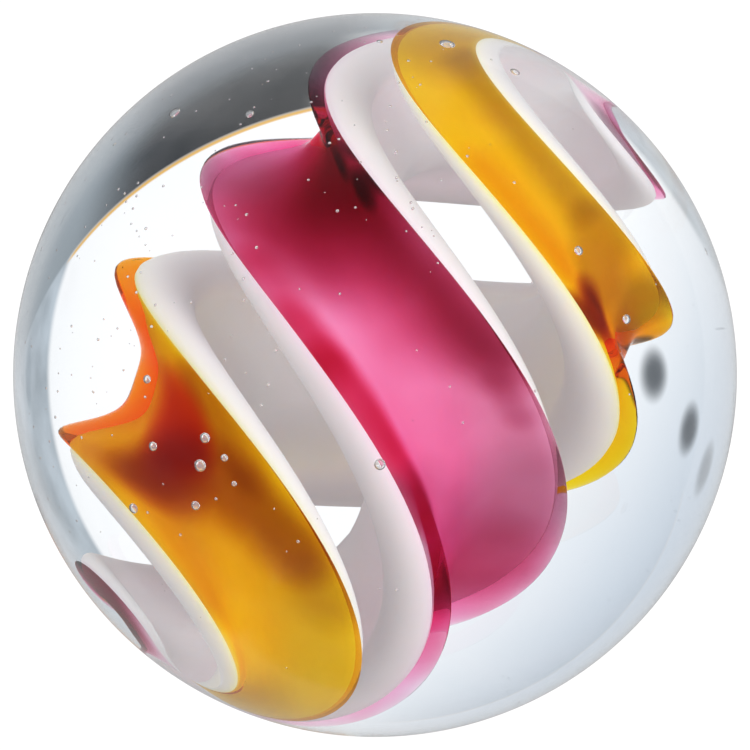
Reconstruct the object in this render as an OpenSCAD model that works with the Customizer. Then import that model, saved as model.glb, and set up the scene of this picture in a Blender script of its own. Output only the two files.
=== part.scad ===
// Swirl marble: a clear glass ball with two ribbons wound as a left-handed double
// helix inside it. Each ribbon is a thick strip of white opal glass with a narrower
// strip of coloured glass on its outer face. All the glasses are fused into one piece.
// Millimetres, origin at the middle of the ball, +Z up.

/* [Ball] */
// Diameter of the finished ball
ball_d = 16; // [14:0.5:25]
// Clear glass outside the ribbons at their widest
side_glass = 3.97; // [3:0.01:4.6]
// Clear glass beyond the upper tip of the ribbons
top_glass = 1.99; // [1:0.01:3]
// Clear glass beyond the lower tip of the ribbons
bottom_glass = 0.73; // [0.4:0.01:2]

/* [Lie of the twist axis] */
// Lean of the axis to the right
lean_right = 30.3; // [0:0.1:60]
// Lean of the axis to the back
lean_back = 40.7; // [0:0.1:60]
// How far the axis passes to the right of the ball's middle, before it leans
off_right = -0.13; // [-0.6:0.01:0.6]
// How far it passes behind the ball's middle, before it leans
off_back = 0.05; // [-0.6:0.01:0.6]

/* [Twist] */
// Turns that a ribbon makes from one end to the other
turns = 1.619; // [1:0.001:1.8]
// Share of the twist that is crowded towards the ends
end_twist = 0.173; // [0:0.001:0.3]
// Extra twist of both ends against the waist, in degrees
lag = 47.2; // [0:0.1:60]
// How much fuller the upper half of the ribbons is than the lower one
fullness = 0.005; // [0:0.001:0.15]

/* [Ribbons] */
// Angle round the axis from the front to the middle of the magenta ribbon
magenta_at = 43.1; // [0:0.1:90]
// Angle round the axis that the magenta covers at the waist
magenta_w = 120.5; // [80:0.1:125]
// Growth of the magenta's width from the waist to the lower end, in degrees
magenta_spread = -1.9; // [-10:0.1:10]
// Loss of the magenta's width from the waist to both ends, in degrees
magenta_pinch = 26.2; // [0:0.1:30]
// Hollow of the magenta ribbon's middle, as a share of its radius
magenta_hollow = 0.337; // [0.05:0.001:0.45]
// How much deeper that hollow is at the upper end, as a share of itself
magenta_deeper = -0.06; // [-0.9:0.01:0.9]
// Angle round the axis from the front to the middle of the amber ribbon
amber_at = 222.6; // [180:0.1:270]
// Angle round the axis that the amber covers at the waist
amber_w = 99.2; // [60:0.1:110]
// Growth of the amber's width from the waist to the lower end, in degrees
amber_spread = 14.4; // [-10:0.1:25]
// Loss of the amber's width from the waist to both ends, in degrees
amber_pinch = 6.2; // [0:0.1:30]
// Hollow of the amber ribbon's middle, as a share of its radius
amber_hollow = 0.261; // [0.05:0.001:0.45]
// How much deeper that hollow is at the upper end, as a share of itself
amber_deeper = -0.59; // [-0.9:0.01:0.9]
// How far out the amber ribbon lies, as a share of the magenta one's radius
amber_out = 1.047; // [0.9:0.001:1.1]
// Flatness of the hollow's floor: 1 is a smooth bowl, and more is a flat-bottomed trough
hollow_flat = 1.67; // [0.7:0.01:4]
// How far the hollow reaches over the white rims: 0 is not at all, and 1 right across
hollow_reach = 0.26; // [0:0.01:1]
// Angle of the bare white rim on each side of a colour
rim_w = 15.5; // [10:0.1:20]

/* [Thickness] */
// Coloured glass over the middle of a ribbon
colour_t = 0.39; // [0.2:0.01:0.6]
// White glass under the colour
white_t = 1.21; // [0.4:0.01:1.4]
// Share by which the colour is thicker near a ribbon's edges
thicker_edges = 0.3; // [0:0.1:2.5]
// How fast the colour thins out towards the tips
thinning = 1; // [0.8:0.1:2.5]

/* [Hidden] */

// Sections along a ribbon, and facets across its colour and each rim
STEPS = 50;
COLOUR_FACETS = 8;
RIM_FACETS = 2;
// The ribbons stop where their ends have drawn in to this share of their size
END_SHARE = 0.24;
// How suddenly a ribbon narrows at its tips, and a colour falls away at its edges
NARROWING = 8;
SHOULDER = 12;
// Fullness of the spindle's ends: 1 is an ellipse, and less is blunter
TIP = 0.91;

waist_r = ball_d / 2 - side_glass;
// The spindle that the ribbons follow runs out to a point at both ends
top_z = ball_d / 2 - top_glass;
bottom_z = bottom_glass - ball_d / 2;
half_l = (top_z - bottom_z) / 2;
middle_z = (top_z + bottom_z) / 2;
end_angle = acos(END_SHARE);

// A ribbon is [angle of its middle at the waist, colour's width, spread, pinch, hollow,
// deeper, radius at the waist]
FRONT = -90;
MAGENTA = [FRONT + magenta_at, magenta_w, magenta_spread, magenta_pinch,
    magenta_hollow, magenta_deeper, waist_r];
AMBER = [FRONT + amber_at, amber_w, amber_spread, amber_pinch,
    amber_hollow, amber_deeper, waist_r * amber_out];

// Places along the axis run from u = -1 at the spindle's lower tip to 1 at its upper tip.
function taper(u) = pow(1 - u * u, TIP / 2);
function twist(u) = 180 * turns * ((1 - end_twist) * u + end_twist * pow(u, 3)) + lag * u * u;
function narrowed(u) = sqrt(1 - pow(u * u, NARROWING));

// Half the angle that the colour covers, and half that of the whole ribbon
function half_colour(ribbon, u) =
    (ribbon[1] - ribbon[2] * u - ribbon[3] * u * u) / 2 * narrowed(u);
function half_rim(u) = rim_w * narrowed(u);
function half_ribbon(ribbon, u) = half_colour(ribbon, u) + half_rim(u);

// Radii at an offset from the ribbon's middle; t runs from -1 to 1 across the ribbon.
// The colour's face is hollowed in the middle of the ribbon, in a smooth wave
function hollowed(ribbon, u, t) =
    let (reach = half_colour(ribbon, u) + hollow_reach * half_rim(u),
         s = min(1, abs(t) * half_ribbon(ribbon, u) / reach))
    ribbon[4] * (1 + ribbon[5] * u) * (1 + cos(180 * pow(s, hollow_flat))) / 2;
function face_r(ribbon, u, t) =
    ribbon[6] * taper(u) * (1 + fullness * u) * (1 - hollowed(ribbon, u, t));
function middle_r(ribbon, u, t) = face_r(ribbon, u, t)
    - colour_t * pow(taper(u), thinning) * (1 + thicker_edges * pow(t, 4))
    - white_t * taper(u) / 2;
// Half the white's thickness, which is rounded off at the ribbon's edges
function half_white(u, t) = white_t * taper(u) / 2 * sqrt(1 - pow(abs(t), 6));
function bed_r(ribbon, u, t) = middle_r(ribbon, u, t) + half_white(u, t);
function inner_r(ribbon, u, t) = middle_r(ribbon, u, t) - half_white(u, t);
// The colour stands on the bed; q runs from -1 to 1 across the colour
function top_r(ribbon, u, t, q) = let (bed = bed_r(ribbon, u, t))
    bed + (face_r(ribbon, u, t) - bed) * sqrt(1 - pow(abs(q), SHOULDER));

// Angles from the ribbon's middle at which its section has corners
function colour_offsets(ribbon, u) = [for (i = [0:COLOUR_FACETS])
    half_colour(ribbon, u) * sin(90 * (2 * i / COLOUR_FACETS - 1))];
function rim_offsets(ribbon, u) = [for (i = [1:RIM_FACETS])
    half_colour(ribbon, u) + half_rim(u) * sin(90 * i / RIM_FACETS)];
function reversed(list) = [for (i = [len(list) - 1:-1:0]) list[i]];
function inside(list) = [for (i = [1:len(list) - 2]) list[i]];
function mirrored(list) = [for (o = reversed(list)) -o];

function corner(ribbon, u, offset, r) =
    let (a = ribbon[0] + offset - twist(u))
    [off_right + r * cos(a), off_back + r * sin(a), middle_z + half_l * u];
function bed_line(ribbon, u, offsets) = [for (o = offsets)
    corner(ribbon, u, o, bed_r(ribbon, u, o / half_ribbon(ribbon, u)))];
function inner_line(ribbon, u, offsets) = [for (o = offsets)
    corner(ribbon, u, o, inner_r(ribbon, u, o / half_ribbon(ribbon, u)))];
function top_line(ribbon, u, offsets) = [for (o = offsets)
    corner(ribbon, u, o, top_r(ribbon, u, o / half_ribbon(ribbon, u), o / half_colour(ribbon, u)))];

function all_offsets(ribbon, u) = concat(
    mirrored(rim_offsets(ribbon, u)),
    colour_offsets(ribbon, u),
    rim_offsets(ribbon, u));

// Sections: the whole ribbon, its colour, and its white
function whole_section(ribbon, u) =
    let (rim = rim_offsets(ribbon, u))
    concat(
        bed_line(ribbon, u, mirrored(rim)),
        top_line(ribbon, u, colour_offsets(ribbon, u)),
        bed_line(ribbon, u, rim),
        reversed(inner_line(ribbon, u, inside(all_offsets(ribbon, u)))));
function colour_section(ribbon, u) =
    let (across = colour_offsets(ribbon, u))
    concat(top_line(ribbon, u, across), reversed(bed_line(ribbon, u, inside(across))));
function white_section(ribbon, u) =
    let (all = all_offsets(ribbon, u))
    concat(bed_line(ribbon, u, all), reversed(inner_line(ribbon, u, inside(all))));

// Faces that close an end: a ladder between a section's outer and inner line
function end_cap(n) = [
    for (k = [0:n / 2 - 1], half = [0, 1])
        let (a = k, b = k + 1, c = n - k - 1, d = (n - k) % n)
        if (half == 0 ? b != c : a != d)
            half == 0 ? [a, b, c] : [a, c, d]];

// Skins a row of sections. Columns from turned_from on are split along the other
// diagonal, so that the faces of two glasses that touch are split alike.
module loft(sections, turned_from) {
    n = len(sections[0]);
    last = len(sections) - 1;
    polyhedron(
        points = [for (s = sections, p = s) p],
        faces = concat(
            end_cap(n),
            [for (i = [0:last - 1], j = [0:n - 1], half = [0, 1])
                let (a = i * n + j, b = i * n + (j + 1) % n, c = b + n, d = a + n)
                j < turned_from
                    ? (half == 0 ? [a, c, b] : [a, d, c])
                    : (half == 0 ? [a, d, b] : [b, d, c])],
            [for (f = end_cap(n)) [for (j = reversed(f)) last * n + j]]));
}

function places() = [for (i = [0:STEPS]) sin(end_angle * (2 * i / STEPS - 1))];

module whole_ribbon(ribbon) {
    sections = [for (u = places()) whole_section(ribbon, u)];
    loft(sections, len(sections[0]));
}

module colour_strip(ribbon) {
    sections = [for (u = places()) colour_section(ribbon, u)];
    loft(sections, COLOUR_FACETS);
}

module white_strip(ribbon) {
    sections = [for (u = places()) white_section(ribbon, u)];
    loft(sections, len(sections[0]));
}

// Leans the upright twist axis to the way it lies in the ball
module leaned() {
    rotate([-lean_back, 0, 0]) rotate([0, lean_right, 0]) children();
}

module clear_body() {
    color([0.93, 0.97, 1, 0.3]) difference() {
        sphere(d = ball_d, $fn = 96);
        leaned() whole_ribbon(MAGENTA);
        leaned() whole_ribbon(AMBER);
    }
}

module white_under_magenta() {
    color([0.93, 0.92, 0.93]) leaned() white_strip(MAGENTA);
}

module magenta_ribbon() {
    color([0.83, 0.13, 0.42]) leaned() colour_strip(MAGENTA);
}

module white_under_amber() {
    color([0.93, 0.92, 0.93]) leaned() white_strip(AMBER);
}

module amber_ribbon() {
    color([0.93, 0.6, 0.08]) leaned() colour_strip(AMBER);
}

clear_body();
white_under_magenta();
magenta_ribbon();
white_under_amber();
amber_ribbon();
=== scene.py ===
"""Swirl marble: a clear glass ball with two ribbons wound inside it as a left-handed
double helix. Each ribbon is a thick strip of white opal glass with a narrower strip of
coloured glass on its outer face. Metres, origin at the middle of the ball, +Z up."""

from math import asin, cos, pi, radians, sin, tan

import bpy
from mathutils import Matrix, Vector


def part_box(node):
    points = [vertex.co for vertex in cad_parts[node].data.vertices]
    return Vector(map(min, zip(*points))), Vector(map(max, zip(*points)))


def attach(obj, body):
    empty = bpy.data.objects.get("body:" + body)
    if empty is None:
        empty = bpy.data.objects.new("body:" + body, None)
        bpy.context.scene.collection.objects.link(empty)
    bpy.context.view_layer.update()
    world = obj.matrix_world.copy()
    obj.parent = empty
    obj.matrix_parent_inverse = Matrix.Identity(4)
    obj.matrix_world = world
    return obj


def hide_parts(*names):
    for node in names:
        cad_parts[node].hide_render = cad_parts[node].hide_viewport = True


MM = 0.001

# Socket numbers, where a name would find a socket of another type: a Mix node's two
# colours and its mixed colour, and a Random Value node's two limits and its number
MIX_A, MIX_B, MIXED = 6, 7, 2
LEAST, MOST, DRAWN = 2, 3, 1

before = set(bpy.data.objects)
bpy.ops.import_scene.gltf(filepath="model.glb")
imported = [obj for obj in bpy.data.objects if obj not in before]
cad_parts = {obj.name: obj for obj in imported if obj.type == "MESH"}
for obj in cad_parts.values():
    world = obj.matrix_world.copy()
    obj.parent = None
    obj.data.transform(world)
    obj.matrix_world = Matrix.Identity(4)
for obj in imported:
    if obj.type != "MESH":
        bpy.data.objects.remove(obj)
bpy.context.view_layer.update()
ball_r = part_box("clear_body")[1].z


# ---------------------------------------------------------------- small helpers


def linear(colour, alpha=1.0):
    """The linear colour of an sRGB hex value such as "F0A012"."""
    parts = [int(colour[i : i + 2], 16) / 255 for i in (0, 2, 4)]
    return (
        *[p / 12.92 if p <= 0.04045 else ((p + 0.055) / 1.055) ** 2.4 for p in parts],
        alpha,
    )


def add(tree, kind, links=None, **settings):
    """Adds a node. Each entry of links is an input's name or number, and the value or
    the other node's output that goes into it."""
    made = tree.nodes.new(kind)
    for name, value in settings.items():
        setattr(made, name, value)
    for key, value in (links or {}).items():
        if isinstance(value, bpy.types.NodeSocket):
            tree.links.new(value, made.inputs[key])
        else:
            made.inputs[key].default_value = value
    return made


def colour_stops(ramp, stops):
    """Gives a Color Ramp node its stops, each a place from 0 to 1 and a hex colour."""
    while len(ramp.color_ramp.elements) < len(stops):
        ramp.color_ramp.elements.new(0.5)
    for element, (place, colour) in zip(ramp.color_ramp.elements, stops):
        element.position = place
        element.color = linear(colour)
    return ramp.outputs["Color"]


def new_material(name):
    """An empty material, its node tree and its output node."""
    material = bpy.data.materials.new(name)
    material.use_nodes = True
    tree = material.node_tree
    tree.nodes.clear()
    return material, tree, add(tree, "ShaderNodeOutputMaterial")


def lets_light_through(tree, glass):
    """Mixes a glass with Transparent for the rays that carry lamp light and soft
    light, so that they reach the ribbons inside without noise."""
    path = add(tree, "ShaderNodeLightPath")
    either = add(
        tree,
        "ShaderNodeMath",
        {0: path.outputs["Is Shadow Ray"], 1: path.outputs["Is Diffuse Ray"]},
        operation="MAXIMUM",
    )
    clear = add(tree, "ShaderNodeBsdfTransparent")
    return add(
        tree,
        "ShaderNodeMixShader",
        {0: either.outputs[0], 1: glass.outputs[0], 2: clear.outputs[0]},
    ).outputs[0]


# ---------------------------------------------------------------- glasses


def clear_soda_lime_glass():
    """Soda-lime glass, pressed to a ball and fire-polished: water clear, with a hint of
    blue-green, a mirror-smooth skin and the faintest waviness that rolling left."""
    material, tree, output = new_material("clear soda-lime glass, fire-polished")
    place = add(tree, "ShaderNodeTexCoord").outputs["Object"]
    # Waves about 5 mm long and well under a micrometre deep
    waves = add(
        tree, "ShaderNodeTexNoise", {"Vector": place, "Scale": 200.0, "Detail": 1.0}
    )
    skin = add(
        tree,
        "ShaderNodeBump",
        {"Height": waves.outputs[0], "Strength": 1.0, "Distance": 0.00002},
    )
    # Cords: streaks of slightly different tint, a few millimetres wide
    cords = add(
        tree,
        "ShaderNodeTexNoise",
        {"Vector": place, "Scale": 300.0, "Detail": 2.0, "Distortion": 1.0},
    )
    tint = add(tree, "ShaderNodeValToRGB", {"Fac": cords.outputs[0]})
    glass = add(
        tree,
        "ShaderNodeBsdfPrincipled",
        {
            "Base Color": colour_stops(tint, [(0.3, "F7FBFE"), (0.7, "FCFDFF")]),
            "Roughness": 0.0,
            "IOR": 1.5,
            "Transmission Weight": 1.0,
            "Normal": skin.outputs[0],
        },
    )
    tree.links.new(lets_light_through(tree, glass), output.inputs["Surface"])
    return material


def seed_skin_glass():
    """The skin of a seed. It bends the light less than a bare surface, and a share of
    it scatters white, which paints a pale glint: the seed shows as a pale speck
    against the dark."""
    material, tree, output = new_material("soda-lime glass round gas seeds")
    place = add(tree, "ShaderNodeTexCoord").outputs["Object"]
    # Specks about 0.1 mm across
    specks = add(tree, "ShaderNodeTexNoise", {"Vector": place, "Scale": 9000.0})
    tint = add(tree, "ShaderNodeValToRGB", {"Fac": specks.outputs[0]})
    glass = add(
        tree,
        "ShaderNodeBsdfPrincipled",
        {
            "Base Color": colour_stops(tint, [(0.3, "F4F6F8"), (0.7, "FFFFFF")]),
            "Roughness": 0.0,
            "IOR": 1.2,
            "Transmission Weight": 0.82,
        },
    )
    tree.links.new(lets_light_through(tree, glass), output.inputs["Surface"])
    return material


def distance_from(tree, place, points):
    """How far a place is from the line through the points, given in millimetres."""
    points = [Vector(p) * MM for p in points]
    nearest = add(
        tree,
        "ShaderNodeVectorMath",
        {0: place, 1: points[0]},
        operation="DISTANCE",
    ).outputs["Value"]
    for start, end in zip(points, points[1:]):
        way = end - start
        offset = add(
            tree, "ShaderNodeVectorMath", {0: place, 1: start}, operation="SUBTRACT"
        ).outputs[0]
        along = add(
            tree,
            "ShaderNodeVectorMath",
            {0: offset, 1: way / way.length_squared},
            operation="DOT_PRODUCT",
        )
        within = add(
            tree,
            "ShaderNodeMath",
            {0: along.outputs["Value"], 1: 0.0},
            operation="ADD",
            use_clamp=True,
        )
        foot = add(
            tree,
            "ShaderNodeVectorMath",
            {0: way, "Scale": within.outputs[0]},
            operation="SCALE",
        )
        away = add(
            tree,
            "ShaderNodeVectorMath",
            {0: offset, 1: foot.outputs[0]},
            operation="DISTANCE",
        )
        nearest = add(
            tree,
            "ShaderNodeMath",
            {0: nearest, 1: away.outputs["Value"]},
            operation="MINIMUM",
        ).outputs[0]
    return nearest


def coloured_glass(name, filter_colour, density, uptake, evenly, streakiness, pools_and_painted_shade):
    """Transparent coloured glass, fused into the clear glass. Their refractive indices
    nearly agree, so its skin hardly bends or reflects light. Its colour comes from what
    it absorbs on the way through, and from a tint of its skin that adds richer places
    and painted shade.

    uptake is how strongly each of R, G and B answers to richness, evenly is how rich
    the glass is all over, and streakiness how much richer it is in its streaks. It was
    gathered by hand, so it has places of richer glass, and over them the tint paints
    shade, which darkens R, G and B alike. Each entry of pools_and_painted_shade gives
    the line it lies along, the distances from there at which it starts and ends to
    fade, how much richer the glass is in it, and how much painted shade darkens it.
    Lines and distances are in millimetres."""
    material, tree, output = new_material(name)
    place = add(tree, "ShaderNodeTexCoord").outputs["Object"]
    # Streaks about 2 mm long
    streaks = add(
        tree,
        "ShaderNodeTexNoise",
        {"Vector": place, "Scale": 420.0, "Detail": 3.0, "Distortion": 0.6},
    )
    streaky = add(
        tree,
        "ShaderNodeMapRange",
        {
            "Value": streaks.outputs[0],
            "From Min": 0.35,
            "From Max": 0.8,
            "To Min": evenly,
            "To Max": evenly + streakiness,
        },
    )
    rich, painted_shade = streaky.outputs[0], 0.0
    # Each place makes the glass richer, and paints shade that darkens R, G and B alike
    for points, inner, outer, richer, painted_shade_here in pools_and_painted_shade:
        share = add(
            tree,
            "ShaderNodeMapRange",
            {
                "Value": distance_from(tree, place, points),
                "From Min": outer * MM,
                "From Max": inner * MM,
            },
            interpolation_type="SMOOTHSTEP",
        ).outputs[0]
        rich = add(
            tree,
            "ShaderNodeMath",
            {0: share, 1: richer, 2: rich},
            operation="MULTIPLY_ADD",
        ).outputs[0]
        painted_shade = add(
            tree,
            "ShaderNodeMath",
            {0: share, 1: painted_shade_here, 2: painted_shade},
            operation="MULTIPLY_ADD",
        ).outputs[0]
    passed = []
    # What each colour loses: its share of the richness, plus the painted shade
    for answer in uptake:
        lost = add(
            tree,
            "ShaderNodeMath",
            {0: rich, 1: answer, 2: painted_shade},
            operation="MULTIPLY_ADD",
        )
        # A glass face lets the square root of its colour through
        kept = add(
            tree, "ShaderNodeMath", {0: lost.outputs[0], 1: -2.0}, operation="MULTIPLY"
        )
        share = add(tree, "ShaderNodeMath", {0: kept.outputs[0]}, operation="EXPONENT")
        passed.append(share.outputs[0])
    tint = add(tree, "ShaderNodeCombineColor", dict(enumerate(passed)))
    glass = add(
        tree,
        "ShaderNodeBsdfPrincipled",
        {
            "Base Color": tint.outputs[0],
            "Roughness": 0.0,
            "IOR": 1.01,
            "Transmission Weight": 1.0,
        },
    )
    tree.links.new(lets_light_through(tree, glass), output.inputs["Surface"])
    body = add(
        tree,
        "ShaderNodeVolumeAbsorption",
        {"Color": filter_colour, "Density": density},
    )
    tree.links.new(body.outputs[0], output.inputs["Volume"])
    return material


def white_opal_glass(name):
    """Opal glass, white through its whole thickness: fluoride crystals scatter the
    light, so edges glow softly. Its colour is painted greyer towards a strip's
    edges, a painted shade for the dimmer, thinner rims."""
    material, tree, output = new_material(name)
    place = add(tree, "ShaderNodeTexCoord").outputs["Object"]
    # Cloudy places about 1 mm across
    clouds = add(
        tree,
        "ShaderNodeTexNoise",
        {"Vector": place, "Scale": 700.0, "Detail": 3.0, "Roughness": 0.5},
    )
    tint = add(tree, "ShaderNodeValToRGB", {"Fac": clouds.outputs[0]})
    white = colour_stops(tint, [(0.25, "F7EFF0"), (0.75, "FBF5F5")])
    # The colour goes greyer towards the drawn-out, thinner edges: painted shade
    edge = add(tree, "ShaderNodeAttribute", attribute_name="edge")
    thin = add(
        tree,
        "ShaderNodeMapRange",
        {
            "Value": edge.outputs["Fac"],
            "From Min": 0.6,
            "From Max": 1.0,
            "To Max": 0.8,
        },
    )
    body = add(
        tree,
        "ShaderNodeMix",
        {0: thin.outputs[0], MIX_A: white, MIX_B: linear("DCD9DC")},
        data_type="RGBA",
    )
    opal = add(
        tree,
        "ShaderNodeBsdfPrincipled",
        {
            "Base Color": body.outputs[MIXED],
            "Roughness": 0.6,
            "IOR": 1.05,
            "Subsurface Weight": 1.0,
            "Subsurface Radius": (1.0, 0.9, 0.85),
            "Subsurface Scale": 0.0008,
        },
    )
    tree.links.new(opal.outputs[0], output.inputs["Surface"])
    return material


CLEAR = clear_soda_lime_glass()
SEED_SKIN = seed_skin_glass()
MAGENTA = coloured_glass(
    "gold-ruby magenta glass",
    filter_colour=(0.98, 0.5, 0.76, 1.0),
    density=3000.0,
    uptake=(0.14, 1.0, 0.72),
    evenly=0.0,
    streakiness=0.35,
    pools_and_painted_shade=[
        # The dark upper end of the widest stretch, its purple far corner, its two
        # blackest spots, and the dark band down its right side: richer glass with
        # painted shade over it
        ([(-0.7, 0.3, 3.1)], 0.5, 2.6, 2.8, 0.65),
        ([(-2.2, 1.9, 2.4)], 0.4, 1.7, 0.1, 0.35),
        ([(-0.2, -0.45, 3.9)], 0.1, 0.55, 0.6, 1.7),
        ([(-0.6, 0.25, 3.95)], 0.1, 0.5, 0.4, 1.4),
        ([(-0.6, 0.5, 3.4)], 0.2, 1.3, 1.2, 0.6),
        ([(0.2, -0.7, 3.9), (1.2, -1.8, 3.1), (2.0, -2.2, 2.1)], 0.2, 1.5, 1.7, 0.55),
        # Its right side, with two dark spots, and its lower end: richer glass with some
        # painted shade
        ([(0.9, -1.4, 2.2)], 0.3, 1.5, 0.8, 0.15),
        ([(2.1, -2.2, 1.9), (2.6, -2.3, 1.0), (2.9, -2.0, -0.2)], 0.1, 1.2, 0.3, 0.2),
        ([(2.1, -2.05, 1.1), (2.4, -2.1, 0.5)], 0.05, 0.5, 0.4, 0.15),
        ([(2.3, -1.7, -1.3)], 0.3, 1.7, 0.2, 0.4),
        ([(1.6, -1.2, -2.5)], 0.4, 1.5, 0.8, 0.2),
        (
            [(1.0, -3.6, -2.3), (1.2, -2.4, -3.3), (1.8, -0.1, -3.5)],
            0.4,
            1.3,
            0.25,
            0.0,
        ),
        # The crimson left side, thin above and wide below: richer glass, with painted
        # shade towards its lower end
        (
            [(-2.1, -1.3, 2.85), (-1.4, -2.5, 2.4), (-1.0, -3.0, 2.0)],
            0.0,
            0.95,
            1.3,
            0.1,
        ),
        ([(-1.4, -2.5, 2.4), (-0.6, -3.3, 1.6), (0.1, -3.8, 0.7)], 0.1, 0.9, 1.0, 0.0),
        (
            [(-0.8, -3.1, 1.8), (0.1, -3.8, 0.7), (0.66, -3.9, -0.4)],
            0.2,
            0.9,
            1.4,
            0.05,
        ),
        (
            [(0.66, -3.9, -0.4), (0.9, -3.85, -1.1), (1.0, -3.7, -1.9)],
            0.3,
            1.0,
            0.3,
            0.6,
        ),
        ([(0.9, -3.0, -0.6), (1.2, -2.4, -1.4)], 0.1, 0.9, 0.1, 0.2),
        # The end of the lowest stretch, richer glass with painted shade, and the end of
        # the uppermost stretch, darkened by painted shade alone
        ([(-4.9, -2.2, -3.1)], 0.9, 2.2, 2.2, 1.2),
        ([(4.0, 2.2, 3.3), (4.3, 1.9, 2.2)], 0.3, 0.9, 0.0, 0.8),
    ],
)
AMBER = coloured_glass(
    "silver-amber glass",
    filter_colour=(0.998, 0.96, 0.0, 1.0),
    density=12000.0,
    uptake=(0.15, 1.0, 3.0),
    evenly=0.37,
    streakiness=0.15,
    pools_and_painted_shade=[
        # The red left end of the lower stretch, and the brown from there down its
        # right side, which is richer glass with painted shade over it
        ([(-3.3, -2.3, 0.4)], 0.4, 1.3, 2.4, 0.0),
        (
            [
                (-3.9, -2.3, -0.6),
                (-2.7, -3.4, -0.1),
                (-1.9, -4.1, -0.4),
                (-1.4, -4.6, -0.9),
            ],
            0.2,
            1.1,
            0.85,
            0.55,
        ),
        (
            [(-3.2, -2.8, 1.6), (-2.7, -3.5, 0.9), (-2.3, -3.9, 0.4)],
            0.1,
            0.9,
            0.55,
            0.35,
        ),
        ([(-0.8, -4.85, -1.7)], 0.3, 1.2, 0.2, 0.25),
        # The deeper orange of its left side, and the two ends of that, with a little
        # painted shade
        (
            [
                (-4.5, -1.8, -0.5),
                (-4.0, -3.0, -0.7),
                (-3.5, -4.2, -1.25),
                (-3.2, -5.0, -1.95),
            ],
            0.1,
            1.0,
            0.35,
            0.15,
        ),
        ([(-3.4, -2.6, -0.2)], 0.3, 1.3, 0.9, 0.2),
        ([(-2.4, -3.8, -4.6)], 0.3, 1.4, 0.1, 0.25),
        # The upper stretch: its upper end and the brown down its right side, mostly
        # painted shade, the orange of its left side, the dark spot, richer glass with
        # painted shade, and the lower right end, darkened by painted shade
        ([(1.2, 2.7, 4.8)], 0.3, 1.5, 0.1, 0.3),
        (
            [
                (1.5, 2.2, 4.95),
                (2.1, 1.15, 4.85),
                (2.5, 0.7, 4.55),
                (3.0, 0.3, 3.95),
                (3.45, 0.1, 3.3),
            ],
            0.05,
            0.65,
            0.15,
            0.42,
        ),
        ([(1.9, -0.3, 4.3), (2.6, -0.8, 3.6), (3.2, -1.0, 2.8)], 0.0, 0.8, 0.4, 0.0),
        ([(3.7, -0.95, 1.8)], 0.2, 0.8, 2.0, 1.0),
        ([(3.95, 0.7, 0.8)], 0.4, 1.2, 0.0, 0.5),
        ([(3.65, -0.2, 1.9), (3.75, 0.1, 2.7)], 0.3, 0.9, 0.2, 0.38),
        # Below it the side edge is thin and pale
        (
            [
                (3.85, -0.4, 0.1),
                (3.8, -0.1, -0.55),
                (3.3, 0.6, -1.55),
                (2.6, 1.4, -2.4),
            ],
            0.3,
            1.2,
            -0.28,
            0.0,
        ),
        ([(3.65, 0.8, -0.1), (4.0, 1.25, 0.2)], 0.3, 1.0, -0.2, 0.0),
    ],
)
OPAL = white_opal_glass("white opal glass")


# ---------------------------------------------------------------- wound strips

# The spindle that both ribbons follow lies this deep in the clear glass, in
# millimetres: at its widest, beyond its upper tip and beyond its lower tip
SIDE_GLASS = 3.97
TOP_GLASS = 1.99
BOTTOM_GLASS = 0.73
waist_r = ball_r - SIDE_GLASS * MM
top_z = ball_r - TOP_GLASS * MM
bottom_z = BOTTOM_GLASS * MM - ball_r
# How far its axis passes the ball's middle, in millimetres, and how far it leans, in
# degrees
OFF_RIGHT = -0.13
OFF_BACK = 0.05
LEAN_RIGHT = 30.3
LEAN_BACK = 40.7
# How full its ends are, and how much fuller its upper half is than the lower one
TIP = 0.91
FULLNESS = 0.005
# The turns from one end to the other, the share of them that is crowded towards the
# ends, and the extra twist of both ends against the waist, in degrees
TURNS = 1.619
END_TWIST = 0.173
LAG = 47.2
# Thickness of the colour and of the white under it, in millimetres, the share by which
# the colour is thicker near a ribbon's edges, and how fast it thins out to the tips
COLOUR_T = 0.39
WHITE_T = 1.21
THICKER_EDGES = 0.3
THINNING = 1.0
# The white rim on each side of a colour, in degrees, the flatness of a ribbon's hollow,
# and how far the hollow reaches over the rims
RIM_W = 15.5
HOLLOW_FLAT = 1.67
HOLLOW_REACH = 0.26
# How suddenly a ribbon narrows at its tips, and a colour falls away at its edges
NARROWING = 8.0
SHOULDER = 12.0

STRIP_INPUTS = {
    "Waist radius": waist_r,
    "Half length": (top_z - bottom_z) / 2,
    "Middle height": (top_z + bottom_z) / 2,
    "Turns": TURNS,
    "End twist": END_TWIST,
    "Lag": radians(LAG),
    "Fullness": FULLNESS,
    "Start angle": 0.0,
    "Colour width": 2.0,
    "Spread": 0.2,
    "Pinch": 0.0,
    "Hollow": 0.15,
    "Deeper": 0.0,
    "Hollow flatness": HOLLOW_FLAT,
    "Hollow reach": HOLLOW_REACH,
    "Off right": OFF_RIGHT * MM,
    "Off back": OFF_BACK * MM,
    "Tip fullness": TIP,
    "Rim": radians(RIM_W),
    "Is white": 1.0,
    "Colour thickness": COLOUR_T * MM,
    "White thickness": WHITE_T * MM,
    "Thicker edges": THICKER_EDGES,
    "Thinning": THINNING,
    "Narrowing": NARROWING,
    "Shoulder": SHOULDER,
}

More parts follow.
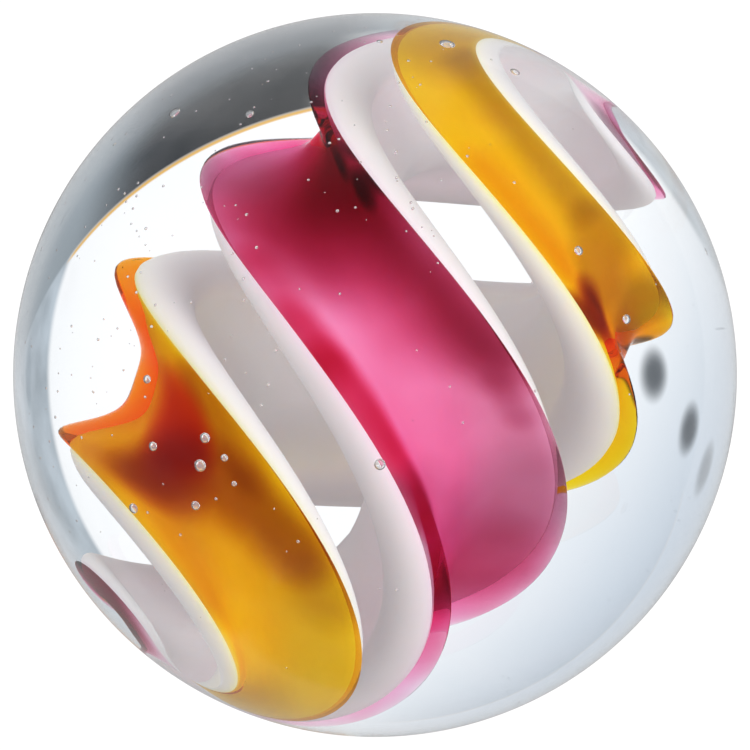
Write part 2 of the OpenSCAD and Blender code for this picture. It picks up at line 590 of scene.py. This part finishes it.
# The rule of a strip, one Math node a line: its name, its operation, what it works on.
# along runs from -90 to 90 degrees from one tip to the other, round goes once round
# the strip's section: its upper half is the outer face, and its lower half the inner.
STRIP_RULE = [
    ("u", "SINE", "along"),
    ("cosine", "COSINE", "along"),
    ("drawn in", "MAXIMUM", "cosine", 0.0),
    ("taper", "POWER", "drawn in", "Tip fullness"),
    ("u2", "MULTIPLY", "u", "u"),
    ("u3", "MULTIPLY", "u2", "u"),
    # How far the strip is wound here
    ("even", "SUBTRACT", 1.0, "End twist"),
    ("even part", "MULTIPLY", "even", "u"),
    ("crowded part", "MULTIPLY", "End twist", "u3"),
    ("both parts", "ADD", "even part", "crowded part"),
    ("half turns", "MULTIPLY", "Turns", pi),
    ("wound", "MULTIPLY", "both parts", "half turns"),
    ("lagging", "MULTIPLY", "Lag", "u2"),
    ("twist", "ADD", "wound", "lagging"),
    # Half widths of the colour, of the whole ribbon and of this strip, as angles
    ("u to the power", "POWER", "u2", "Narrowing"),
    ("1-u", "SUBTRACT", 1.0, "u to the power"),
    ("not under 0", "MAXIMUM", "1-u", 0.0),
    ("narrowed", "SQRT", "not under 0"),
    ("spread here", "MULTIPLY", "Spread", "u"),
    ("pinch here", "MULTIPLY", "Pinch", "u2"),
    ("less spread", "SUBTRACT", "Colour width", "spread here"),
    ("colour here", "SUBTRACT", "less spread", "pinch here"),
    ("half colour wide", "MULTIPLY", "colour here", 0.5),
    ("half colour", "MULTIPLY", "half colour wide", "narrowed"),
    ("rim here", "MULTIPLY", "Rim", "narrowed"),
    ("half ribbon", "ADD", "half colour", "rim here"),
    ("own rim", "MULTIPLY", "rim here", "Is white"),
    ("half strip", "ADD", "half colour", "own rim"),
    # Place across the strip
    ("across", "COSINE", "round"),
    ("side", "SINE", "round"),
    ("offset", "MULTIPLY", "half strip", "across"),
    ("t", "DIVIDE", "offset", "half ribbon"),
    ("t2", "MULTIPLY", "t", "t"),
    ("t4", "MULTIPLY", "t2", "t2"),
    ("t6", "MULTIPLY", "t4", "t2"),
    # Radius of the colour's outer face, hollowed in the middle
    ("rim reached", "MULTIPLY", "Hollow reach", "rim here"),
    ("reach", "ADD", "half colour", "rim reached"),
    ("aside", "ABSOLUTE", "offset"),
    ("share", "DIVIDE", "aside", "reach"),
    ("up to the edge", "MINIMUM", "share", 1.0),
    ("flattened", "POWER", "up to the edge", "Hollow flatness"),
    ("half wave", "MULTIPLY", "flattened", pi),
    ("wave", "COSINE", "half wave"),
    ("raised", "ADD", "wave", 1.0),
    ("depth here", "MULTIPLY", "raised", 0.5),
    ("deeper here", "MULTIPLY", "Deeper", "u"),
    ("as deep", "ADD", 1.0, "deeper here"),
    ("hollow here", "MULTIPLY", "Hollow", "as deep"),
    ("hollowed", "MULTIPLY", "hollow here", "depth here"),
    ("left", "SUBTRACT", 1.0, "hollowed"),
    ("full", "MULTIPLY", "Fullness", "u"),
    ("fuller", "ADD", 1.0, "full"),
    ("radius", "MULTIPLY", "Waist radius", "taper"),
    ("radius fuller", "MULTIPLY", "radius", "fuller"),
    ("face", "MULTIPLY", "radius fuller", "left"),
    # The white strip: outer and inner face, rounded at its edges
    ("thinned", "POWER", "taper", "Thinning"),
    ("colour depth", "MULTIPLY", "Colour thickness", "thinned"),
    ("white depth", "MULTIPLY", "White thickness", "taper"),
    ("half white", "MULTIPLY", "white depth", 0.5),
    ("thicker", "MULTIPLY", "t4", "Thicker edges"),
    ("as thick", "ADD", 1.0, "thicker"),
    ("own depth", "MULTIPLY", "colour depth", "as thick"),
    ("top of white", "SUBTRACT", "face", "own depth"),
    ("middle", "SUBTRACT", "top of white", "half white"),
    ("1-t6", "SUBTRACT", 1.0, "t6"),
    ("never under 0", "MAXIMUM", "1-t6", 0.0),
    ("roundness", "SQRT", "never under 0"),
    ("bulge", "MULTIPLY", "half white", "roundness"),
    ("bed", "ADD", "middle", "bulge"),
    ("inner", "SUBTRACT", "middle", "bulge"),
    # The colour strip stands on the white one, with rounded shoulders
    ("q", "DIVIDE", "offset", "half colour"),
    ("size of q", "ABSOLUTE", "q"),
    ("q to the power", "POWER", "size of q", "Shoulder"),
    ("1-q", "SUBTRACT", 1.0, "q to the power"),
    ("inside colour", "MAXIMUM", "1-q", 0.0),
    ("shoulder", "SQRT", "inside colour"),
    ("full height", "SUBTRACT", "face", "bed"),
    ("height", "MULTIPLY", "full height", "shoulder"),
    ("top of colour", "ADD", "bed", "height"),
    ("overlap", "MULTIPLY", "taper", 0.04 * MM),
    ("foot of colour", "SUBTRACT", "bed", "overlap"),
    # Radius of this point: outer face or inner face, white or colour
    ("is outer", "GREATER_THAN", "side", -1e-4),
    ("is inner", "SUBTRACT", 1.0, "is outer"),
    ("is colour", "SUBTRACT", 1.0, "Is white"),
    ("white outer", "MULTIPLY", "bed", "Is white"),
    ("colour outer", "MULTIPLY", "top of colour", "is colour"),
    ("outer r", "ADD", "white outer", "colour outer"),
    ("white inner", "MULTIPLY", "inner", "Is white"),
    ("colour inner", "MULTIPLY", "foot of colour", "is colour"),
    ("inner r", "ADD", "white inner", "colour inner"),
    ("r of outer", "MULTIPLY", "outer r", "is outer"),
    ("r of inner", "MULTIPLY", "inner r", "is inner"),
    ("r", "ADD", "r of outer", "r of inner"),
    ("turned", "ADD", "Start angle", "offset"),
    ("angle", "SUBTRACT", "turned", "twist"),
    ("cos", "COSINE", "angle"),
    ("sin", "SINE", "angle"),
    ("to the right", "MULTIPLY", "r", "cos"),
    ("to the back", "MULTIPLY", "r", "sin"),
    ("x", "ADD", "to the right", "Off right"),
    ("y", "ADD", "to the back", "Off back"),
    ("along axis", "MULTIPLY", "Half length", "u"),
    ("z", "ADD", "Middle height", "along axis"),
]

# Steps along a strip and round its section
ALONG, ROUND = 240, 80


def new_tree(name, inputs):
    """An empty Geometry Nodes tree. Each input is given by its default value, or by
    the kind of its socket where there is none."""
    tree = bpy.data.node_groups.new(name, "GeometryNodeTree")
    tree.interface.new_socket(
        "Geometry", in_out="OUTPUT", socket_type="NodeSocketGeometry"
    )
    kinds = {float: "Float", int: "Int"}
    for label, default in inputs.items():
        kind = kinds.get(type(default), default)
        made = tree.interface.new_socket(
            label, in_out="INPUT", socket_type="NodeSocket" + kind
        )
        if kind != default:
            made.default_value = default
    return tree


def wound_strip_tree():
    """Geometry Nodes: a closed strip of glass wound round the twist axis."""
    tree = new_tree("Wound strip", {**STRIP_INPUTS, "Glass": "Material"})
    given = add(tree, "NodeGroupInput")
    values = {name: given.outputs[name] for name in STRIP_INPUTS}

    grid = add(
        tree,
        "GeometryNodeMeshGrid",
        {
            "Size X": pi,
            "Size Y": 2 * pi,
            "Vertices X": ALONG + 1,
            "Vertices Y": ROUND + 1,
        },
    )
    where = add(
        tree,
        "ShaderNodeSeparateXYZ",
        {0: add(tree, "GeometryNodeInputPosition").outputs[0]},
    )
    values["along"], values["round"] = where.outputs[0], where.outputs[1]
    for name, operation, *works_on in STRIP_RULE:
        links = {i: values.get(w, w) for i, w in enumerate(works_on)}
        made = add(tree, "ShaderNodeMath", links, operation=operation, label=name)
        values[name] = made.outputs[0]
    point = add(
        tree,
        "ShaderNodeCombineXYZ",
        {0: values["x"], 1: values["y"], 2: values["z"]},
    )
    # How near the strip's edge each point is, which the white glass reads to paint
    # shade towards its edges
    marked = add(
        tree,
        "GeometryNodeStoreNamedAttribute",
        {"Geometry": grid.outputs[0], "Name": "edge", "Value": values["t2"]},
    )
    laid = add(
        tree,
        "GeometryNodeSetPosition",
        {"Geometry": marked.outputs[0], "Position": point.outputs[0]},
    )
    closed = add(
        tree,
        "GeometryNodeMergeByDistance",
        {"Geometry": laid.outputs[0], "Distance": 2e-8},
    )
    smooth = add(tree, "GeometryNodeSetShadeSmooth", {"Geometry": closed.outputs[0]})
    real = add(tree, "GeometryNodeRealizeInstances", {"Geometry": smooth.outputs[0]})
    dressed = add(
        tree,
        "GeometryNodeSetMaterial",
        {"Geometry": real.outputs[0], "Material": given.outputs["Glass"]},
    )
    add(tree, "NodeGroupOutput", {0: dressed.outputs[0]})
    return tree


def plain_mesh(name, tree, sizes, start=None):
    """What a Geometry Nodes tree makes with these sizes, as a plain mesh object."""
    seed = bpy.data.objects.new(name + " seed", start or bpy.data.meshes.new(name))
    bpy.context.scene.collection.objects.link(seed)
    modifier = seed.modifiers.new("shape", "NODES")
    modifier.node_group = tree
    for item in tree.interface.items_tree:
        if item.in_out == "INPUT" and item.name in sizes:
            modifier[item.identifier] = sizes[item.name]
    seen = seed.evaluated_get(bpy.context.evaluated_depsgraph_get())
    mesh = bpy.data.meshes.new_from_object(seen)
    seed.modifiers.remove(modifier)
    bpy.data.objects.remove(seed)
    mesh.name = name
    # The mesh it started from brings an empty material slot
    if mesh.materials[0] is None:
        mesh.materials.pop(index=0)
    made = bpy.data.objects.new(name, mesh)
    bpy.context.scene.collection.objects.link(made)
    return made


def into_ball(piece):
    """Leans a piece that was made round an upright axis to its lie in the ball."""
    lean = Matrix.Rotation(radians(-LEAN_BACK), 4, "X") @ Matrix.Rotation(
        radians(LEAN_RIGHT), 4, "Y"
    )
    piece.data.transform(lean)
    return piece


def finished(piece, node):
    """Puts a piece in place of its CAD node."""
    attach(piece, "root")
    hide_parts(node)


strip_tree = wound_strip_tree()
# The angle round the twist axis that is at the front
FRONT = -90
# Of each ribbon, in degrees: where round the axis its middle is, and how wide its
# colour is at the waist, how much wider that grows to the lower end and how much
# narrower to both ends. As shares: how deep it is hollowed, how much deeper at the
# upper end, and how far out it lies.
RIBBONS = [
    {
        "name": "magenta",
        "glass": MAGENTA,
        "at": FRONT + 43.1,
        "wide": 120.5,
        "spread": -1.9,
        "pinch": 26.2,
        "hollow": 0.337,
        "deeper": -0.06,
        "out": 1.0,
    },
    {
        "name": "amber",
        "glass": AMBER,
        "at": FRONT + 222.6,
        "wide": 99.2,
        "spread": 14.4,
        "pinch": 6.2,
        "hollow": 0.261,
        "deeper": -0.59,
        "out": 1.047,
    },
]
for given in RIBBONS:
    ribbon = given["name"]
    sizes = {
        "Start angle": radians(given["at"]),
        "Colour width": radians(given["wide"]),
        "Spread": radians(given["spread"]),
        "Pinch": radians(given["pinch"]),
        "Hollow": given["hollow"],
        "Deeper": given["deeper"],
        "Waist radius": given["out"] * waist_r,
    }
    for name, node, slot, is_white, glass in (
        ("White_under_" + ribbon, "white_under_" + ribbon, "white_glass", 1.0, OPAL),
        (
            "Ribbon_" + ribbon,
            ribbon + "_ribbon",
            ribbon + "_glass",
            0.0,
            given["glass"],
        ),
    ):
        own = {"Is white": is_white, "Glass": glass}
        strip = plain_mesh(name, strip_tree, {**STRIP_INPUTS, **sizes, **own})
        finished(into_ball(strip), node)


# ---------------------------------------------------------------- ball and seeds

# Seeds, the little gas bubbles of the melt: place and radius in millimetres
SEEDS = [
    (-4.7, -5.2, 2.9, 0.09),
    (-4.6, -5.9, 1.7, 0.10),
    (-3.5, -6.4, 2.2, 0.11),
    (-3.6, -6.5, 1.6, 0.13),
    (-3.1, -6.7, 1.9, 0.08),
    (-2.9, -6.9, 1.4, 0.06),
    (-5.0, -5.7, 0.1, 0.11),
    (-3.7, -6.6, 0.7, 0.10),
    (0.1, -7.3, 2.1, 0.12),
    (1.5, 1.1, 7.3, 0.17),
    (2.9, 0.6, 6.9, 0.11),
    (4.2, -3.7, 5.1, 0.10),
    (5.2, -4.1, 3.7, 0.10),
    (-4.2, -0.1, 6.4, 0.14),
    (-2.6, -1.3, 7.0, 0.10),
    (0.1, 0.8, 7.6, 0.07),
]


def ball_tree():
    """Geometry Nodes: the ball's skin, with a void for each seed point that comes in
    and fine seeds strewn through the clear glass. The voids face inwards."""
    inputs = {
        "Geometry": "Geometry",
        "Radius": ball_r,
        # How deep the fine seeds lie, as shares of the radius, how many there are, and
        # how big they are
        "Innermost": 0.74,
        "Outermost": 0.97,
        "Fine seeds": 320,
        "Smallest": 0.01 * MM,
        "Biggest": 0.035 * MM,
        # The share of the radius past which the glass is the ball's own skin
        "Own skin": 0.99,
        "Glass": "Material",
        "Seed skin": "Material",
    }
    tree = new_tree("Ball with seeds", inputs)
    given = add(tree, "NodeGroupInput")

    ball = add(
        tree,
        "GeometryNodeMeshIcoSphere",
        {"Radius": given.outputs["Radius"], "Subdivisions": 7},
    )
    bubble = add(
        tree, "GeometryNodeMeshIcoSphere", {"Radius": 1.0, "Subdivisions": 3}
    )
    size = add(
        tree,
        "GeometryNodeInputNamedAttribute",
        {"Name": "radius"},
        data_type="FLOAT",
    )
    main = add(
        tree,
        "GeometryNodeInstanceOnPoints",
        {
            "Points": given.outputs["Geometry"],
            "Instance": bubble.outputs[0],
            "Scale": size.outputs[0],
        },
    )
    # Fine seeds: a random direction, a random depth under the skin, a random size
    cloud = add(tree, "GeometryNodePoints", {"Count": given.outputs["Fine seeds"]})
    towards = add(
        tree,
        "FunctionNodeRandomValue",
        {0: (-1.0, -1.0, -1.0), 1: (1.0, 1.0, 1.0), "Seed": 11},
        data_type="FLOAT_VECTOR",
    )
    # There are more of them high on the left
    gathered = add(
        tree,
        "ShaderNodeVectorMath",
        {0: towards.outputs[0], 1: (-0.65, -0.1, 0.62)},
        operation="ADD",
    )
    straight = add(
        tree, "ShaderNodeVectorMath", {0: gathered.outputs[0]}, operation="NORMALIZE"
    )
    deep = add(
        tree,
        "FunctionNodeRandomValue",
        {
            LEAST: given.outputs["Innermost"],
            MOST: given.outputs["Outermost"],
            "Seed": 12,
        },
        data_type="FLOAT",
    )
    out = add(
        tree,
        "ShaderNodeMath",
        {0: deep.outputs[DRAWN], 1: given.outputs["Radius"]},
        operation="MULTIPLY",
    )
    spot = add(
        tree,
        "ShaderNodeVectorMath",
        {0: straight.outputs[0], "Scale": out.outputs[0]},
        operation="SCALE",
    )
    strewn = add(
        tree,
        "GeometryNodeSetPosition",
        {"Geometry": cloud.outputs[0], "Position": spot.outputs[0]},
    )
    grain = add(
        tree, "GeometryNodeMeshIcoSphere", {"Radius": 1.0, "Subdivisions": 2}
    )
    girth = add(
        tree,
        "FunctionNodeRandomValue",
        {
            LEAST: given.outputs["Smallest"],
            MOST: given.outputs["Biggest"],
            "Seed": 13,
        },
        data_type="FLOAT",
    )
    fine = add(
        tree,
        "GeometryNodeInstanceOnPoints",
        {
            "Points": strewn.outputs[0],
            "Instance": grain.outputs[0],
            "Scale": girth.outputs[DRAWN],
        },
    )
    seeds = add(tree, "GeometryNodeJoinGeometry")
    tree.links.new(main.outputs[0], seeds.inputs[0])
    tree.links.new(fine.outputs[0], seeds.inputs[0])
    solid_seeds = add(
        tree, "GeometryNodeRealizeInstances", {"Geometry": seeds.outputs[0]}
    )
    voids = add(tree, "GeometryNodeFlipFaces", {"Mesh": solid_seeds.outputs[0]})
    whole = add(tree, "GeometryNodeJoinGeometry")
    # What lies deeper than the ball's own skin is the skin of a seed
    from_middle = add(
        tree,
        "ShaderNodeVectorMath",
        {0: add(tree, "GeometryNodeInputPosition").outputs[0]},
        operation="LENGTH",
    )
    shallow = add(
        tree,
        "ShaderNodeMath",
        {0: given.outputs["Radius"], 1: given.outputs["Own skin"]},
        operation="MULTIPLY",
    )
    inside = add(
        tree,
        "ShaderNodeMath",
        {0: from_middle.outputs["Value"], 1: shallow.outputs[0]},
        operation="LESS_THAN",
    )
    tree.links.new(voids.outputs[0], whole.inputs[0])
    tree.links.new(ball.outputs[0], whole.inputs[0])
    smooth = add(tree, "GeometryNodeSetShadeSmooth", {"Geometry": whole.outputs[0]})
    real = add(tree, "GeometryNodeRealizeInstances", {"Geometry": smooth.outputs[0]})
    dressed = add(
        tree,
        "GeometryNodeSetMaterial",
        {"Geometry": real.outputs[0], "Material": given.outputs["Glass"]},
    )
    lined = add(
        tree,
        "GeometryNodeSetMaterial",
        {
            "Geometry": dressed.outputs[0],
            "Selection": inside.outputs[0],
            "Material": given.outputs["Seed skin"],
        },
    )
    add(tree, "NodeGroupOutput", {0: lined.outputs[0]})
    return tree


points = bpy.data.meshes.new("seed points")
points.from_pydata([tuple(c * MM for c in s[:3]) for s in SEEDS], [], [])
points.attributes.new("radius", "FLOAT", "POINT").data.foreach_set(
    "value", [s[3] * MM for s in SEEDS]
)
body = plain_mesh(
    "Marble_body", ball_tree(), {"Glass": CLEAR, "Seed skin": SEED_SKIN}, points
)
finished(body, "clear_body")


# ---------------------------------------------------------------- floor and surround

VIEW_UP = radians(30)
# How far away the camera is, in ball radii, and how much of the way from the middle of
# the view to its sides the ball's outline reaches
CAMERA_RADII = 16
FILLED = 0.96533
# Which way the camera looks
FORWARD = Vector((0, cos(VIEW_UP), -sin(VIEW_UP)))


def pale_floor():
    """A sheet of white paper: the marble's shadow shows faintly, and the glass looks
    through it to the surround."""
    material, tree, output = new_material("white paper")
    place = add(tree, "ShaderNodeTexCoord").outputs["Object"]
    # Fibres about 0.25 mm long
    fibres = add(tree, "ShaderNodeTexNoise", {"Vector": place, "Scale": 4000.0})
    tint = add(tree, "ShaderNodeValToRGB", {"Fac": fibres.outputs[0]})
    paper = add(
        tree,
        "ShaderNodeBsdfDiffuse",
        {"Color": colour_stops(tint, [(0.3, "C4C4C4"), (0.7, "C8C8C8")])},
    )
    glow = add(
        tree, "ShaderNodeEmission", {"Color": linear("FFFFFF"), "Strength": 1.3}
    )
    shaded = add(
        tree, "ShaderNodeMixShader", {0: 0.7, 1: paper.outputs[0], 2: glow.outputs[0]}
    )
    path = add(tree, "ShaderNodeLightPath")
    seen = add(
        tree,
        "ShaderNodeMixShader",
        {0: path.outputs["Is Camera Ray"], 1: paper.outputs[0], 2: shaded.outputs[0]},
    )
    through = add(
        tree,
        "ShaderNodeMath",
        {0: path.outputs["Is Transmission Ray"], 1: path.outputs["Is Glossy Ray"]},
        operation="MAXIMUM",
    )
    clear = add(tree, "ShaderNodeBsdfTransparent")
    final = add(
        tree,
        "ShaderNodeMixShader",
        {0: through.outputs[0], 1: seen.outputs[0], 2: clear.outputs[0]},
    )
    tree.links.new(final.outputs[0], output.inputs["Surface"])
    return material


def make_floor():
    """A big square sheet under the ball, at the height of its lowest point."""
    half = 2.0
    mesh = bpy.data.meshes.new("Floor")
    mesh.from_pydata(
        [
            (x * half, y * half, -ball_r)
            for x, y in ((-1, -1), (1, -1), (1, 1), (-1, 1))
        ],
        [],
        [(0, 1, 2, 3)],
    )
    mesh.materials.append(pale_floor())
    floor = bpy.data.objects.new("Floor", mesh)
    bpy.context.scene.collection.objects.link(floor)


def make_surround():
    """A white surround. What the glass shows of it has a dark patch low on the right,
    a grey wall along the right, and a cool upper left side with soft dark spots."""
    world = bpy.data.worlds.new("White surround")
    bpy.context.scene.world = world
    world.use_nodes = True
    tree = world.node_tree
    tree.nodes.clear()
    towards = add(tree, "ShaderNodeTexCoord").outputs["Generated"]

    def how_far(direction, low, high, most=1.0):
        """0 to most as the look goes from low to high along a direction."""
        dot = add(
            tree,
            "ShaderNodeVectorMath",
            {0: towards, 1: tuple(direction)},
            operation="DOT_PRODUCT",
        )
        step = add(
            tree,
            "ShaderNodeMapRange",
            {
                "Value": dot.outputs["Value"],
                "From Min": low,
                "From Max": high,
                "To Max": most,
            },
            interpolation_type="SMOOTHSTEP",
        )
        return step.outputs[0]

    def layered(colour, layers):
        """A colour with others laid over it, each by its share."""
        for share, over in layers:
            mixing = add(
                tree,
                "ShaderNodeMix",
                {0: share, MIX_A: colour, MIX_B: over},
                data_type="RGBA",
            )
            colour = mixing.outputs[MIXED]
        return colour

    right = Vector((1, 0, 0))
    up = right.cross(FORWARD)
    # The dark patch's straight upper edge looks this way
    edge = (up + 0.725 * FORWARD - 0.22 * right).normalized()
    shares = {
        "below": how_far(-edge, -0.004, 0.012),
        "rightwards": how_far((right - 0.15 * FORWARD).normalized(), -0.2, 0.05),
        "downwards": how_far((0, 0, -1), 0.1, 0.4),
        "nearly below": how_far(-edge, -0.016, -0.005),
        "greyer": how_far(-FORWARD, -0.66, -0.5, 0.45),
        "paler": how_far(right, 0.5, 0.75, 0.75),
        "ring": how_far(-FORWARD, -0.635, -0.6),
        "right side": how_far(right, 0.2, 0.3),
        "lower left": how_far(-0.766 * right - 0.643 * up, 0.87, 0.91),
        "lowest": how_far(-up, 0.85, 0.9),
        "cool": how_far((-right + 0.7 * up).normalized(), 0.1, 1.0),
        "facing": how_far(-FORWARD, 0.1, 0.6),
    }
    for name, spot, low, most in (
        ("first spot", 0.804 * FORWARD - 0.595 * right, 0.9975, 0.95),
        ("second spot", 0.659 * FORWARD - 0.741 * right + 0.129 * up, 0.997, 0.95),
        ("third spot", 0.479 * FORWARD - 0.844 * right + 0.242 * up, 0.996, 0.6),
    ):
        shares[name] = how_far(spot.normalized(), low, 1.0, most)
    # How the shares work together: the patch, a grey wall all along the right with
    # two bits of it behind, and a thin warm fringe painted on the edge between light
    # and dark, standing in for the colours that glass spreads light into there
    for name, operation, *works_on in (
        ("low right", "MULTIPLY", "below", "rightwards"),
        ("patch", "MULTIPLY", "low right", "downwards"),
        ("long wall", "MULTIPLY", "ring", "right side"),
        ("bits behind", "MAXIMUM", "lower left", "lowest"),
        ("wall", "MAXIMUM", "long wall", "bits behind"),
        ("strip", "SUBTRACT", "nearly below", "below"),
        ("strip at right", "MULTIPLY", "strip", "rightwards"),
        ("fringe", "SUBTRACT", "strip at right", "wall"),
    ):
        links = {i: shares[w] for i, w in enumerate(works_on)}
        made = add(tree, "ShaderNodeMath", links, operation=operation, use_clamp=True)
        shares[name] = made.outputs[0]

    clouds = add(
        tree, "ShaderNodeTexNoise", {"Vector": towards, "Scale": 5.0, "Detail": 3.0}
    )
    dark = add(tree, "ShaderNodeValToRGB", {"Fac": clouds.outputs[0]})
    grey = add(tree, "ShaderNodeValToRGB", {"Fac": clouds.outputs[0]})
    patch_colour = layered(
        colour_stops(dark, [(0.38, "060505"), (0.62, "302E2E")]),
        [(shares["greyer"], linear("747C82")), (shares["paler"], linear("98A2A8"))],
    )
    spot_colour = linear("3C4248")
    seen = layered(
        linear("FFFFFF"),
        [
            (shares["cool"], linear("C0CBD7")),
            (shares["first spot"], spot_colour),
            (shares["second spot"], spot_colour),
            (shares["third spot"], spot_colour),
            (shares["wall"], colour_stops(grey, [(0.35, "98A1A8"), (0.65, "BCC6CE")])),
            (shares["fringe"], linear("E8B450")),
            (shares["patch"], patch_colour),
        ],
    )
    # The side that faces the camera is the unlit half of the studio
    mirrored = layered(
        seen, [(shares["facing"], linear("6A6A6C")), (0.6, linear("505052"))]
    )

    path = add(tree, "ShaderNodeLightPath")
    through = add(
        tree,
        "ShaderNodeMath",
        {0: path.outputs["Is Transmission Ray"], 1: path.outputs["Is Glossy Ray"]},
        operation="MAXIMUM",
    )
    white = add(
        tree, "ShaderNodeBackground", {"Color": linear("FFFFFF"), "Strength": 1.0}
    )
    soft = add(
        tree, "ShaderNodeBackground", {"Color": linear("FFFFFF"), "Strength": 0.86}
    )
    path_seen = layered(mirrored, [(path.outputs["Is Transmission Ray"], seen)])
    shown = add(tree, "ShaderNodeBackground", {"Color": path_seen, "Strength": 1.12})
    plain = add(
        tree,
        "ShaderNodeMixShader",
        {0: path.outputs["Is Camera Ray"], 1: soft.outputs[0], 2: white.outputs[0]},
    )
    final = add(
        tree,
        "ShaderNodeMixShader",
        {0: through.outputs[0], 1: plain.outputs[0], 2: shown.outputs[0]},
    )
    output = add(tree, "ShaderNodeOutputWorld")
    tree.links.new(final.outputs[0], output.inputs["Surface"])


def soft_lamp(name, place, size, power):
    """A square softbox that faces the marble. The glass doesn't mirror it."""
    lamp = bpy.data.lights.new(name, "AREA")
    lamp.shape = "SQUARE"
    lamp.size = size
    lamp.energy = power
    made = bpy.data.objects.new(name, lamp)
    made.location = place
    made.rotation_euler = (-Vector(place)).to_track_quat("-Z", "Y").to_euler()
    made.visible_glossy = False
    made.visible_transmission = False
    bpy.context.scene.collection.objects.link(made)


def make_camera():
    """Looks down at the middle of the ball, whose outline nearly fills the view."""
    distance = CAMERA_RADII * ball_r
    lens = bpy.data.cameras.new("Camera")
    lens.sensor_width = 36.0
    outline = tan(asin(ball_r / distance))
    lens.lens = lens.sensor_width / 2 * FILLED / outline
    lens.clip_start, lens.clip_end = 0.01, 10.0
    camera = bpy.data.objects.new("Camera", lens)
    camera.location = -FORWARD * distance
    camera.rotation_euler = FORWARD.to_track_quat("-Z", "Y").to_euler()
    bpy.context.scene.collection.objects.link(camera)
    bpy.context.scene.camera = camera


make_camera()
make_floor()
make_surround()
soft_lamp("Side lamp", (0.14, -0.11, 0.08), 0.10, 0.14)
soft_lamp("High side lamp", (-0.14, 0.02, 0.14), 0.10, 0.02)
bpy.context.scene.view_settings.view_transform = "Standard"
